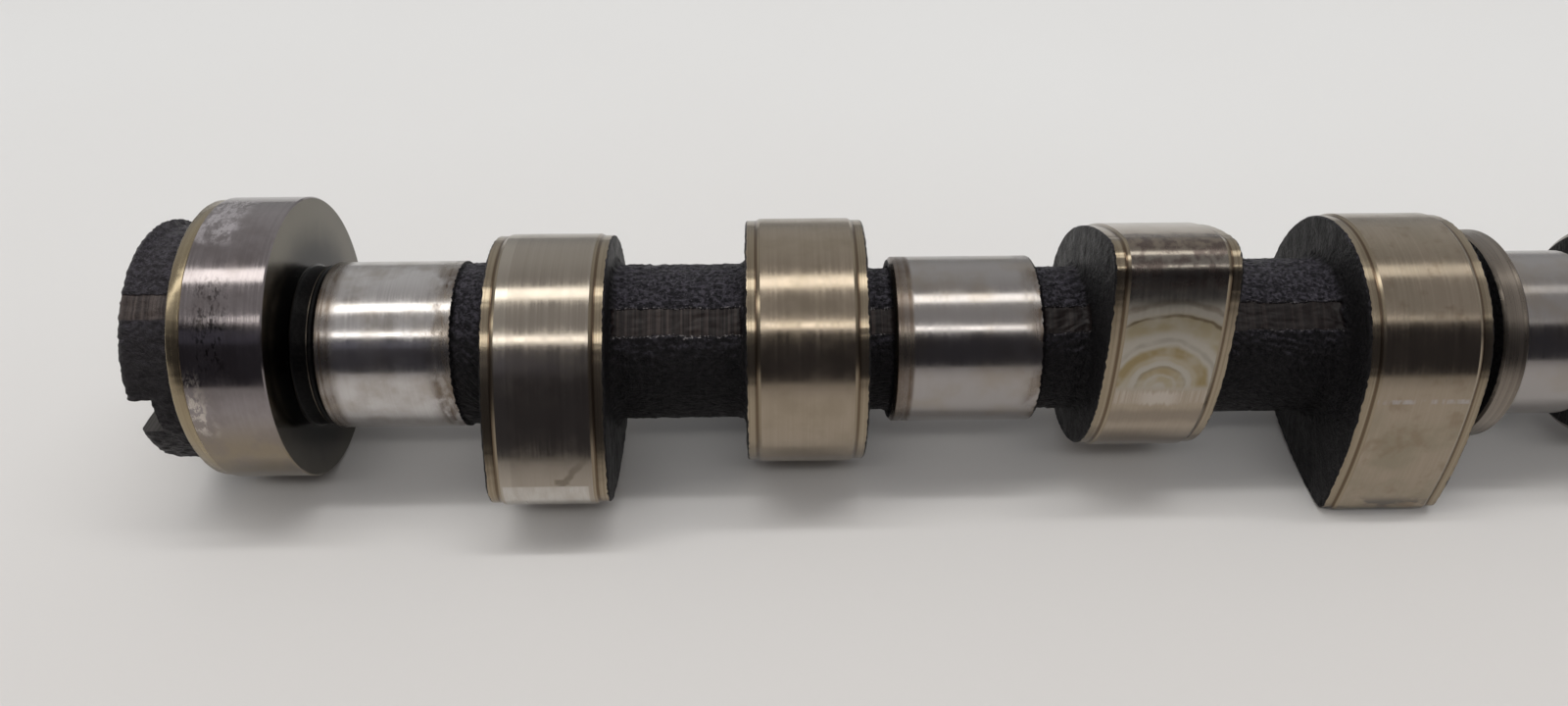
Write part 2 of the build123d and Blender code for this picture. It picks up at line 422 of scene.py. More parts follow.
    def collar(self):
        """The thrust collar, turned with fine grooves."""
        rear = collar_rear + collar_edge
        front = front_journal[0] - collar_edge
        rim = collar_radius - collar_edge
        self.finish = "collar_turning"
        self.edge(collar_rear, rim, ragged=edge_ragged / 4)
        self.edge(rear, collar_radius)
        x = rear + collar_groove_pitch
        while x < front - collar_groove_pitch / 2:
            self.ring(x - collar_groove_pitch / 2, collar_radius - collar_groove_depth)
            self.ring(x, collar_radius)
            x += collar_groove_pitch
        self.edge(front, collar_radius)
        self.edge(front_journal[0], rim)

    def front_end(self):
        """The seal land and the pulley seat."""
        rear, front = seal_land
        land_rim = seal_land_radius - seal_land_edge
        self.finish = "cast_skin"
        self.ring(rear, neck_radius + seal_land_wall, side_grain)
        self.finish = "collar_turning"
        self.edge(rear, land_rim)
        self.edge(rear + seal_land_edge, seal_land_radius)
        self.ring((rear + front) / 2, seal_land_radius)
        self.edge(front - seal_land_edge, seal_land_radius)
        self.finish = "turned_face"
        self.edge(front, land_rim)
        self.ring(front, pulley_seat_radius + pulley_seat_corner)
        self.edge(front, pulley_seat_radius)
        self.ring((front + pulley_seat_front) / 2, pulley_seat_radius)
        self.edge(pulley_seat_front - pulley_seat_edge, pulley_seat_radius)
        self.edge(pulley_seat_front, pulley_seat_radius - pulley_seat_edge)
        self.ring(pulley_seat_front, (pulley_seat_radius + bolt_hole_mouth) / 2)

    def bolt_hole(self):
        """A countersunk blind hole. Each ring of its thread is turned a little from the last."""
        angles = even_in_hole
        throat = pulley_seat_front - (bolt_hole_mouth - bolt_hole_radius)
        floor = pulley_seat_front - bolt_hole_depth
        self.edge(pulley_seat_front, bolt_hole_mouth, angles=angles)
        self.edge(throat, bolt_hole_radius, angles=angles)
        steps = np.arange(0, thread_length, thread_pitch / rings_a_turn)
        for along in steps:
            phase = (along / thread_pitch - angles / (2 * pi)) % 1.0
            fade = min(1.0, along / thread_pitch, (steps[-1] - along) / thread_pitch)
            groove = thread_height * (1 - np.abs(2 * phase - 1)) * fade
            self.ring(throat - thread_start - along, bolt_hole_radius + groove, angles=angles)
        self.edge(floor, bolt_hole_radius, angles=angles)
        self.ring(floor - 0.01, bolt_hole_floor, angles=angles)


def swept_rings():
    """All the rings, from the rear boss to the floor of the bolt hole."""
    skin = Skin()
    hub = shaft_radius + cast_fillet
    neck = neck_radius + neck_fillet
    skin.boss()
    skin.eccentric()
    skin.relief()
    skin.journal(rear_journal, *rear_journal_chamfers)
    skin.cast_stretch(rear_journal[1], first_cam["rear"], rear_neck_radius, 0.0, neck_fillet)
    skin.cam(first_cam, rear_neck_radius + neck_fillet, hub)
    skin.cast_stretch(
        first_cam["front"], second_cam["rear"], shaft_radius, cast_fillet, cast_fillet
    )
    skin.cam(second_cam, hub, neck)
    skin.cast_stretch(
        second_cam["front"], middle_journal[0], neck_radius, neck_fillet, journal_root_fillet
    )
    skin.journal(middle_journal, journal_chamfer, journal_chamfer)
    skin.cast_stretch(
        middle_journal[1], third_cam["rear"], neck_radius, journal_root_fillet, neck_fillet
    )
    skin.cam(third_cam, neck, hub)
    skin.cast_stretch(
        third_cam["front"], fourth_cam["rear"], shaft_radius, cast_fillet, cast_fillet
    )
    skin.cam(fourth_cam, hub, neck)
    skin.cast_stretch(fourth_cam["front"], collar_rear, neck_radius, neck_fillet, neck_fillet)
    skin.collar()
    skin.journal(front_journal, 0.0, journal_chamfer)
    skin.cast_stretch(
        front_journal[1], seal_land[0], neck_radius, journal_root_fillet, neck_fillet, flats=False
    )
    skin.front_end()
    skin.bolt_hole()
    return skin.rings


# ---- cast grain
def grain_at(x, y, z, sandy):
    """How far the sand-cast skin stands in or out here, from about -1 to 1."""
    lump = noise.fractal(Vector((x, y, z)) * lump_scale, 1.0, 2.1, 2)
    if not sandy:
        return lump
    sand = noise.fractal(Vector((x + 40, y, z)) * sand_scale, 0.5, 2.3, 3)
    return 0.4 * lump + 0.9 * sand


def roughen(rings):
    """Moves the points of ragged rings along the axis, and of cast ones along their normals."""
    for index, here in enumerate(rings):
        if here["ragged"]:
            for j, angle in enumerate(here["angles"]):
                radius = here["radius"][j]
                spot = Vector((here["x"][j] * 0.05, radius * cos(angle), radius * sin(angle)))
                here["x"][j] += here["ragged"] * noise.fractal(spot * ragged_scale, 0.7, 2.1, 3)
        if not here["grain"]:
            continue
        before = rings[index - 1]
        after = rings[index + 1]
        along = after["x"] - before["x"]
        out = after["radius"] - before["radius"]
        length = np.maximum(np.hypot(along, out), 1e-6)
        for j, angle in enumerate(here["angles"]):
            x = here["x"][j]
            radius = here["radius"][j]
            y, z = radius * cos(angle), radius * sin(angle)
            step = here["grain"] * grain_at(x, y, z, here["sandy"])
            here["x"][j] -= out[j] / length[j] * step
            here["radius"][j] += along[j] / length[j] * step
    for here in rings:
        here["x"] = np.maximum(here["x"], boss_rear)


# ---- one closed mesh
def in_scene(name, data):
    """An object made of this data, linked to the scene."""
    made = bpy.data.objects.new(name, data)
    bpy.context.scene.collection.objects.link(made)
    return made


def mesh_of(name, points, faces):
    mesh = bpy.data.meshes.new(name)
    mesh.from_pydata(points, [], faces)
    return mesh


def mark_crisp(mesh, rings):
    """Keeps the shading sharp along the crisp rings."""
    ring_of = np.repeat(np.arange(len(rings)), [len(ring["angles"]) for ring in rings])
    ring_of = np.concatenate([ring_of, [-1, -2]])
    ends = np.zeros(len(mesh.edges) * 2, dtype=int)
    mesh.edges.foreach_get("vertices", ends)
    ends = ring_of[ends.reshape(-1, 2)]
    crisp = np.array([ring["crisp"] for ring in rings] + [False, False])
    sharp = (ends[:, 0] == ends[:, 1]) & crisp[ends[:, 0]]
    edge_flags = mesh.attributes.new("sharp_edge", "BOOLEAN", "EDGE")
    edge_flags.data.foreach_set("value", sharp)


def closed_mesh(rings, materials):
    """Joins the rings with bands and closes both ends with fans."""
    finishes = [material.name for material in materials]
    points = []
    starts = []
    for here in rings:
        starts.append(len(points))
        for x, radius, angle in zip(here["x"], here["radius"], here["angles"]):
            points.append((x * MM, radius * cos(angle) * MM, radius * sin(angle) * MM))
    faces = []
    face_finish = []
    for index in range(len(rings) - 1):
        first, next_first = starts[index], starts[index + 1]
        count, next_count = len(rings[index]["angles"]), len(rings[index + 1]["angles"])
        share = count // next_count
        for j in range(next_count):
            k = (j + 1) % next_count
            low = [first + (j * share + i) % count for i in range(share + 1)]
            faces.append(low + [next_first + k, next_first + j])
            face_finish.append(finishes.index(rings[index]["finish"]))
    for end, first, turn in ((rings[0], starts[0], -1), (rings[-1], starts[-1], 1)):
        points.append((float(end["x"][0]) * MM, 0.0, 0.0))
        count = len(end["angles"])
        for j in range(count):
            pair = [first + j, first + (j + 1) % count][::turn]
            faces.append([*pair, len(points) - 1])
            face_finish.append(finishes.index("turned_face"))
    mesh = mesh_of("camshaft_body", points, faces)
    mesh.polygons.foreach_set("material_index", face_finish)
    mesh.shade_smooth()
    mark_crisp(mesh, rings)
    for material in materials:
        mesh.materials.append(material)
    return mesh


# ---- drive slot
def slot_cutter():
    """A bar across the boss, as deep as the slot."""
    half_length, half_width = 1.5 * boss_radius, slot_width / 2
    corners = []
    for x in (boss_rear - 1.0, boss_rear + slot_depth):
        for along, across in ((-1, -1), (1, -1), (1, 1), (-1, 1)):
            a, c = along * half_length, across * half_width
            y = a * cos(slot_angle) - c * sin(slot_angle)
            z = a * sin(slot_angle) + c * cos(slot_angle)
            corners.append((x * MM, y * MM, z * MM))
    sides = [(0, 3, 2, 1), (4, 5, 6, 7), (0, 1, 5, 4), (1, 2, 6, 5), (2, 3, 7, 6), (3, 0, 4, 7)]
    mesh = mesh_of("slot_cut", corners, sides)
    mesh.materials.append(bpy.data.materials["slot_wall"])
    return in_scene("slot_cutter", mesh)


def cut_slot(body, cutter):
    """Cuts the slot, keeps its edges crisp and says where the skin is left open, if it is."""
    cut = body.modifiers.new("slot", "BOOLEAN")
    cut.object = cutter
    cut.operation = "DIFFERENCE"
    cut.solver = "EXACT"
    cut.material_mode = "TRANSFER"
    bpy.context.view_layer.update()
    evaluated = body.evaluated_get(bpy.context.evaluated_depsgraph_get())
    mesh = bpy.data.meshes.new_from_object(evaluated)
    body.modifiers.clear()
    body.data = mesh
    mesh.name = "camshaft_body"
    bpy.data.objects.remove(cutter)
    slot_wall = mesh.materials.find("slot_wall")
    faces_at = {}
    for face in mesh.polygons:
        for key in face.edge_keys:
            faces_at.setdefault(key, []).append(face)
    for edge in mesh.edges:
        pair = faces_at[edge.key]
        walls = [face for face in pair if face.material_index == slot_wall]
        if len(walls) == 1 or (len(walls) == 2 and walls[0].normal.dot(walls[1].normal) < 0.5):
            edge.use_edge_sharp = True
        if len(pair) != 2:
            print("open edge", edge.key)
    mesh.shade_smooth()
    print("triangles", sum(len(face.vertices) - 2 for face in mesh.polygons))


# ---- node trees
class Nodes:
    """Short calls that add nodes to a tree."""

    def __init__(self, tree):
        self.tree = tree

    def node(self, kind, **inputs):
        """Adds a node. Lower-case words are its settings, the others its sockets."""
        made = self.tree.nodes.new(kind)
        for name, value in inputs.items():
            if name.islower():
                setattr(made, name, value)
        for name, value in inputs.items():
            if not name.islower():
                self.feed(made.inputs[name.replace("_", " ")], value)
        return made

    def feed(self, socket, value):
        if isinstance(value, bpy.types.NodeSocket):
            self.tree.links.new(value, socket)
        elif socket.type == "RGBA":
            socket.default_value = (*value, 1.0)
        else:
            socket.default_value = value

    def math(self, operation, *values, clamp=False):
        made = self.tree.nodes.new("ShaderNodeMath")
        made.operation = operation
        made.use_clamp = clamp
        for socket, value in zip(made.inputs, values):
            self.feed(socket, value)
        return made.outputs[0]

    def product(self, first, *others):
        for other in others:
            first = self.math("MULTIPLY", first, other)
        return first

    def line(self, value, slope, start):
        """The value times the slope, plus the start."""
        return self.math("MULTIPLY_ADD", value, slope, start)

    def less(self, value, taken):
        return self.math("SUBTRACT", value, taken)

    def larger(self, one, other):
        return self.math("MAXIMUM", one, other)

    def step(self, value, low, high, to_low=0.0, to_high=1.0):
        """Eases from to_low at low to to_high at high."""
        made = self.tree.nodes.new("ShaderNodeMapRange")
        made.interpolation_type = "SMOOTHSTEP"
        for socket, given in zip(made.inputs, (value, low, high, to_low, to_high)):
            self.feed(socket, given)
        return made.outputs[0]

    def band(self, value, centre, half, soft):
        """1 within half of the centre, easing to 0 over soft."""
        away = self.math("ABSOLUTE", self.less(value, centre))
        return self.step(away, half, half + soft, 1.0, 0.0)

    def mix(self, share, low, high):
        made = self.tree.nodes.new("ShaderNodeMix")
        made.data_type = "RGBA"
        self.feed(made.inputs["Factor"], share)
        for socket, value in ((made.inputs[6], low), (made.inputs[7], high)):
            self.feed(socket, value)
        return made.outputs[2]


class Paint(Nodes):
    """A procedural material, whose places on the object are in millimetres."""

    def __init__(self, name):
        self.material = bpy.data.materials.new(name)
        self.material.use_nodes = True
        super().__init__(self.material.node_tree)
        self.shader = self.tree.nodes["Principled BSDF"]
        place = self.node("ShaderNodeTexCoord").outputs["Object"]
        place = self.node("ShaderNodeVectorMath", operation="SCALE", Vector=place, Scale=1 / MM)
        self.place = place.outputs["Vector"]
        split = self.node("ShaderNodeSeparateXYZ", Vector=self.place)
        self.x, self.y, self.z = split.outputs
        self.angle = self.math("ARCTAN2", self.z, self.y)

    def from_axis(self):
        """The distance from the shaft's axis."""
        squares = [self.product(side, side) for side in (self.y, self.z)]
        return self.math("SQRT", self.math("ADD", *squares))

    def sector(self, centre, half, soft):
        """A band of angles round the shaft, in degrees."""
        return self.band(self.angle, radians(centre), radians(half), radians(soft))

    def noise(self, scale, detail=3.0, stretch=None, rough=0.55):
        """Noise from 0 to 1. The scale is per millimetre."""
        vector = self.place
        if stretch:
            made = self.node("ShaderNodeVectorMath", operation="MULTIPLY", Vector=vector)
            made.inputs[1].default_value = stretch
            vector = made.outputs["Vector"]
        made = self.node(
            "ShaderNodeTexNoise", Vector=vector, Scale=scale, Detail=detail, Roughness=rough
        )
        return made.outputs[0]

    def bump(self, height, depth):
        """Raises the surface by the height, whose 0 to 1 is the depth in millimetres."""
        made = self.node("ShaderNodeBump", Height=height, Strength=1.0, Distance=depth * MM)
        return made.outputs["Normal"]

    def done(self, colour, roughness, metallic, normal=None, **others):
        self.feed(self.shader.inputs["Base Color"], colour)
        self.feed(self.shader.inputs["Roughness"], roughness)
        self.feed(self.shader.inputs["Metallic"], metallic)
        if normal is not None:
            self.feed(self.shader.inputs["Normal"], normal)
        for name, value in others.items():
            self.feed(self.shader.inputs[name.replace("_", " ")], value)
        return self.material


around = (1.0, 0.009, 0.009)  # noise stretched round the shaft, as grinding leaves it


# ---- black skin
def mould_line(paint, sand, fine, lumps):
    """Where the mould line's flats lie on the shaft, and where their edges carry a painted glint.
    """
    quarter_back = paint.line(lumps, radians(5.0), parting_angle - pi / 2 - radians(2.5))
    from_middle = paint.math("FLOORED_MODULO", paint.less(paint.angle, quarter_back), pi)
    from_middle = paint.math("ABSOLUTE", paint.less(from_middle, pi / 2))
    inside = paint.less(paint.line(sand, radians(3.0), radians(9.3)), from_middle)
    on_shaft = paint.step(paint.from_axis(), shaft_radius + 0.15, shaft_radius + 0.5, 1.0, 0.0)
    flat = paint.product(paint.step(inside, 0.0, radians(1.2)), on_shaft)
    # Painted highlight: a glint along the flats' edges.
    edge = paint.band(inside, radians(0.2), radians(0.5), radians(0.7))
    return flat, paint.product(edge, on_shaft, paint.step(fine, 0.54, 0.62))


def cast_skin():
    """Black foundry skin, greyer on its dusty upper side, which is also painted lighter as light
    falls on it from above, with painted glint specks there, and brown flats at the mould line.
    """
    paint = Paint("cast_skin")
    sand = paint.noise(1.5, 4.0, rough=0.6)
    fine = paint.noise(3.2, 3.0, rough=0.7)
    lumps = paint.noise(0.4, 2.0)
    facing = paint.node("ShaderNodeNewGeometry").outputs["Normal"]
    upward = paint.node("ShaderNodeSeparateXYZ", Vector=facing).outputs["Z"]
    # Painted light: the upper side is painted greyer, for its dusty bloom and for the light
    # falling on it from above.
    dust_and_top_light = paint.step(upward, 0.42, 1.0)
    hollow = paint.mix(dust_and_top_light, (0.0015, 0.0012, 0.0018), (0.0075, 0.0068, 0.0092))
    crest = paint.mix(dust_and_top_light, (0.0100, 0.0085, 0.0100), (0.062, 0.057, 0.071))
    colour = paint.mix(paint.step(sand, 0.40, 0.66), hollow, crest)
    # Painted highlight: bright glint specks on the upper side.
    painted_glints = paint.product(paint.step(fine, 0.60, 0.68), dust_and_top_light, 0.55)
    colour = paint.mix(painted_glints, colour, (0.17, 0.16, 0.18))
    on_boss = paint.step(paint.x, eccentric_rear + 0.1, eccentric_rear - 0.1)
    colour = paint.mix(paint.product(on_boss, 0.22), colour, (0.075, 0.066, 0.072))

    flat, flat_edge_glint = mould_line(paint, sand, fine, lumps)
    streaks = paint.step(paint.noise(2.2, 3.0, around), 0.42, 0.72)
    fresh = paint.step(paint.x, middle_journal[0] - 2.0, middle_journal[0], 1.0, 0.4)
    bare_share = paint.product(streaks, fresh)
    bare = paint.mix(bare_share, (0.009, 0.0065, 0.0065), (0.046, 0.034, 0.031))
    colour = paint.mix(flat, colour, bare)
    boss_flat = paint.band(paint.angle, boss_flat_angle, radians(5.2), radians(1.0))
    boss_flat = paint.product(boss_flat, on_boss, 0.85)
    brushed = paint.mix(streaks, (0.030, 0.022, 0.020), (0.095, 0.074, 0.066))
    colour = paint.mix(boss_flat, colour, brushed)
    # Pale specks along the flats' edges, a painted highlight.
    colour = paint.mix(paint.product(flat_edge_glint, fresh), colour, (0.30, 0.28, 0.28))

    rough = paint.step(lumps, 0.3, 0.7, 0.32, 0.48)
    uneven = paint.line(paint.larger(flat, boss_flat), -0.9, 1.0)
    height = paint.product(paint.line(fine, 0.6, sand), uneven)
    return paint.done(colour, rough, 0.0, paint.bump(height, 0.6), Specular_IOR_Level=0.24)


def relief_shade():
    """Black groove between the disc and the rear journal: painted shade, near-black and with
    little gloss.
    """
    paint = Paint("relief_shade")
    sand = paint.noise(2.0, 3.0)
    crest = paint.step(sand, 0.4, 0.7)
    # Painted shade: the groove is coloured near-black.
    colour = paint.mix(crest, (0.0012, 0.001, 0.0012), (0.004, 0.0035, 0.0035))
    return paint.done(colour, 0.4, 0.0, paint.bump(sand, 0.06), Specular_IOR_Level=0.12)


# ---- ground iron
def ground_iron(name, shades, roughness, stains=None):
    """Ground iron: fine lines run round the shaft and vary its shade and gloss."""
    paint = Paint(name)
    bright, dull = shades
    lines = paint.step(paint.noise(3.2, 4.0, around, 0.65), 0.3, 0.7)
    broad = paint.step(paint.noise(0.3, 3.0), 0.35, 0.7)
    colour = paint.mix(lines, dull, bright)
    rough = paint.line(lines, 0.05, roughness - 0.02)
    rough = paint.line(broad, 0.05, rough)
    normal = paint.bump(lines, 0.002)
    if stains:
        colour, rough = stains(paint, colour, rough)
    return paint.done(colour, rough, 1.0, normal)


def journal_stains(paint, colour, rough):
    """Brown varnish left near the edges of the bearing bands, and a few blots of it."""
    greyer = paint.step(paint.x, -150.0, -110.0, 0.0, 0.8)
    colour = paint.mix(greyer, colour, (0.30, 0.28, 0.27))
    blotches = paint.step(paint.noise(0.5, 4.0, (1.0, 0.6, 0.6)), 0.36, 0.6)
    amount = 0.0
    for place, half, soft, strength, patchy in (
        (rear_journal[0], 1.6, 2.2, 0.92, 0.25),
        (rear_journal[1], 1.2, 3.8, 0.95, 0.85),
        (middle_journal[0], 2.6, 0.6, 0.95, 0.1),
        (middle_journal[1], 0.7, 3.0, 0.9, 0.8),
        (front_journal[0], 0.4, 1.2, 0.6, 0.6),
        (front_journal[1], 0.5, 1.5, 0.6, 0.6),
    ):
        patches = paint.line(blotches, patchy, 1 - patchy)
        edge = paint.product(paint.band(paint.x, place, half, soft), patches, strength)
        amount = paint.larger(edge, amount)
    rings_of_varnish = paint.step(paint.noise(1.6, 2.0, around), 0.35, 0.65, 0.72, 1.0)
    amount = paint.product(amount, rings_of_varnish)
    broken = paint.line(blotches, 0.6, 0.4)
    for from_edge, degrees, strength in ((1.1, 173.0, 1.0), (0.4, 88.0, 0.8), (5.1, 125.0, 0.3)):
        along = paint.band(paint.x, rear_journal[1] - from_edge, 1.0, 2.4)
        blot = paint.product(along, paint.sector(degrees, 5.0, 8.0), broken, strength)
        amount = paint.larger(blot, amount)
    colour = paint.mix(amount, colour, (0.10, 0.068, 0.045))
    film = paint.step(paint.noise(0.16, 4.0), 0.42, 0.7, 0.0, 0.6)
    colour = paint.mix(film, colour, (0.31, 0.27, 0.225))
    return colour, paint.line(amount, 0.14, rough)


def disc_wear(paint, colour, rough):
    """Scuffs at the disc's rear edge, a trail of dark pits, and a warmer, darker colour low down.
    """
    # Warmer and darker towards the bottom.
    colour = paint.mix(paint.step(paint.z, 6.0, -4.0), colour, (0.25, 0.205, 0.145))
    from_edge = paint.less(paint.x, eccentric_land_rear)
    chips = paint.noise(0.9, 5.0, (1.0, 0.6, 0.6), 0.7)
    upper = paint.product(paint.step(from_edge, 6.9, 4.5), paint.sector(84.0, 14.0, 5.0))
    upper = paint.product(upper, paint.step(chips, 0.40, 0.60))
    lower = paint.product(paint.step(from_edge, 4.2, 1.2), paint.sector(164.0, 10.0, 8.0))
    lower = paint.product(lower, paint.step(chips, 0.46, 0.56))
    colour = paint.mix(upper, colour, (0.56, 0.52, 0.535))
    colour = paint.mix(lower, colour, (0.58, 0.53, 0.48))
    trail = paint.product(paint.band(from_edge, 4.4, 1.2, 1.8), paint.sector(134.0, 13.0, 8.0))
    pits = paint.step(paint.noise(1.7, 5.0, (1.0, 0.5, 0.5), 0.7), 0.50, 0.60)
    pits = paint.product(pits, paint.line(trail, 0.85, 0.04))
    colour = paint.mix(pits, colour, (0.045, 0.038, 0.038))
    grime = paint.step(paint.noise(0.25, 3.0), 0.45, 0.7, 0.0, 0.45)
    colour = paint.mix(grime, colour, (0.19, 0.165, 0.16))
    return colour, paint.line(paint.larger(upper, lower), 0.16, rough)


def face_corner_shade(paint, colour, rough):
    """The disc's front face, painted near-black towards the shaft as shade in the corner."""
    radius = paint.line(paint.noise(0.3, 3.0), 3.0, paint.from_axis())
    # Painted shade towards the corner with the shaft.
    unshaded = paint.step(radius, 15.0, 22.5)
    return paint.mix(unshaded, (0.010, 0.009, 0.008), colour), rough


def nose_patch(paint, colour, rough):
    """The first cam's nose, worn paler where its tappet turned on it, and a smear above."""
    along = paint.less(paint.x, first_cam["x"])
    edge_strip = paint.product(paint.step(along, -4.9, -5.2), 0.6)
    colour = paint.mix(edge_strip, colour, (0.45, 0.41, 0.35))

    beyond = paint.less(paint.angle, radians(196.5 - 360.0))
    slant = paint.line(paint.noise(0.5, 3.0), 1.6, paint.line(beyond, -25.0, 1.6))
    smear = paint.band(paint.less(along, slant), 0.0, 0.25, 0.6)
    smear = paint.product(smear, paint.step(beyond, radians(-11.0), radians(-2.0)))
    foot = paint.product(
        paint.band(along, 2.3, 0.8, 0.5),
        paint.band(beyond, radians(-0.6), radians(0.5), radians(0.6)),
    )
    smear = paint.larger(smear, foot)
    smear = paint.product(smear, paint.step(beyond, radians(1.0), radians(0.4)), 0.55)
    colour = paint.mix(smear, colour, (0.13, 0.105, 0.075))

    nose = paint.band(paint.angle, first_cam["angle"] - 2 * pi, radians(7.5), radians(0.5))
    smears = paint.step(paint.noise(0.8, 3.0, (1.0, 0.3, 0.3)), 0.3, 0.7, 0.55, 1.0)
    patch = paint.product(nose, paint.band(along, -0.2, 6.2, 0.2), smears)
    colour = paint.mix(patch, colour, (0.55, 0.525, 0.49))
    return colour, paint.line(patch, 0.08, rough)


def lapped_arcs(paint, colour, rough):
    """The third cam's flank: pale, with straw-coloured arcs round one spot on it, a pale band of
    strokes filled in its middle as a painted highlight, and painted shade low down.
    """
    spot_angle = radians(165.0)
    base = third_cam["base"]
    spot = (third_cam["x"] - 0.6, base * cos(spot_angle), base * sin(spot_angle))
    away = paint.node("ShaderNodeVectorMath", operation="DISTANCE", Vector=paint.place)
    away.inputs[1].default_value = spot
    away = paint.line(paint.noise(0.22, 2.0), 1.8, away.outputs["Value"])
    away = paint.less(away, 0.9)
    above = paint.step(paint.z, spot[2] - 0.4, spot[2] + 0.8)
    near_side = paint.step(paint.y, -9.0, -12.0)
    flank = paint.product(near_side, paint.step(paint.z, spot[2] - 1.5, spot[2] + 1.0))
    colour = paint.mix(flank, colour, (0.37, 0.348, 0.302))
    patchy = paint.step(paint.noise(0.3, 2.0), 0.3, 0.6, 0.45, 1.15)
    for radius, half, soft, strength, tint in (
        (1.7, 0.2, 0.6, 0.6, (0.29, 0.235, 0.135)),
        (3.0, 0.25, 0.6, 0.7, (0.27, 0.21, 0.11)),
        (3.7, 0.1, 0.3, 0.5, (0.19, 0.145, 0.08)),
        (5.4, 0.3, 0.6, 0.5, (0.29, 0.235, 0.135)),
        (6.5, 0.35, 0.9, 0.8, (0.25, 0.195, 0.10)),
        (8.2, 0.1, 0.4, 0.4, (0.22, 0.20, 0.175)),
        (10.9, 0.6, 1.4, 0.7, (0.28, 0.235, 0.14)),
        (12.0, 0.08, 0.28, 0.8, (0.14, 0.11, 0.07)),
        (14.0, 0.15, 0.5, 0.5, (0.17, 0.135, 0.10)),
    ):
        arc = paint.product(paint.band(away, radius, half, soft), above, near_side, strength)
        colour = paint.mix(paint.math("MULTIPLY", arc, patchy, clamp=True), colour, tint)

    strokes = paint.noise(1.6, 4.0, around, 0.7)
    from_stroke = paint.less(paint.z, paint.line(strokes, 3.0, spot[2] - 3.4))
    # A pale band of strokes; its middle is filled in as a painted highlight.
    painted_sheen = paint.band(paint.x, spot[0] + 0.4, 1.2, 3.4)
    shown = paint.larger(paint.step(strokes, 0.36, 0.78), painted_sheen)
    stroke_band_and_sheen = paint.product(paint.band(from_stroke, 0.0, 0.7, 0.9), near_side, shown, 0.55)
    colour = paint.mix(stroke_band_and_sheen, colour, (0.54, 0.50, 0.46))
    # Painted shade: the near flank is darker low down, where it faces the shadow under the shaft,
    # with a faint wavy band darkened too.
    wavy = paint.line(paint.noise(0.35, 3.0), 1.6, paint.z)
    under = paint.larger(paint.step(paint.z, -4.0, -8.0), paint.band(wavy, -0.4, 0.5, 1.8))
    under = paint.product(under, near_side, 0.5)
    colour = paint.mix(under, colour, (0.17, 0.14, 0.115))
    worn = paint.step(paint.noise(0.6, 4.0), 0.42, 0.6, 0.45, 0.9)
    nose = paint.band(paint.angle, third_cam["angle"], radians(9.0), radians(4.0))
    nose = paint.product(nose, worn)
    colour = paint.mix(nose, colour, (0.11, 0.085, 0.077))
    return colour, paint.line(nose, 0.12, rough)


def flank_film(paint, colour, rough):
    """The fourth cam's flank: films of grey and brown, a pale dashed line and a smeared nose."""
    film = paint.step(paint.noise(0.17, 4.0), 0.36, 0.64)
    film = paint.product(film, paint.step(paint.z, 2.0, -3.0, 0.35, 0.9))
    colour = paint.mix(film, colour, (0.27, 0.235, 0.175))
    brown = paint.step(paint.noise(0.32, 4.0), 0.52, 0.7, 0.0, 0.55)
    colour = paint.mix(brown, colour, (0.23, 0.175, 0.12))
    dashes = paint.step(paint.noise(0.7, 3.0, (1.0, 0.2, 0.2)), 0.46, 0.62)
    pale_dashes = paint.product(paint.sector(172.3, 0.6, 0.9), dashes, 0.6)
    colour = paint.mix(pale_dashes, colour, (0.44, 0.425, 0.43))
    smears = paint.step(paint.noise(0.5, 4.0, (0.5, 1.0, 1.0)), 0.44, 0.6)
    tip = paint.product(smears, paint.step(paint.z, -15.5, -17.5), 0.8)
    return paint.mix(tip, colour, (0.12, 0.11, 0.105)), rough


def warm_film(paint, colour, rough):
    """A thin brownish film in clouds over a cam."""
    film = paint.step(paint.noise(0.2, 4.0), 0.42, 0.68, 0.0, 0.6)
    return paint.mix(film, colour, (0.27, 0.225, 0.165)), rough


def cam_shoulder():
    """The lower edges of the cams: yellowish, with a brown line in the step."""
    paint = Paint("cam_shoulder")
    lines = paint.noise(4.0, 3.0, around)
    colour = paint.mix(paint.step(lines, 0.3, 0.7), (0.25, 0.205, 0.145), (0.34, 0.285, 0.21))
    step_line = 0.0
    for cam in cams:
        for place in span(cam["x"], cam_land_width + 2 * cam_step_width):
            step_line = paint.larger(paint.band(paint.x, place, 0.1, 0.25), step_line)
    colour = paint.mix(paint.product(step_line, 0.8), colour, (0.10, 0.065, 0.04))
    return paint.done(colour, 0.2, 1.0, paint.bump(lines, 0.003))


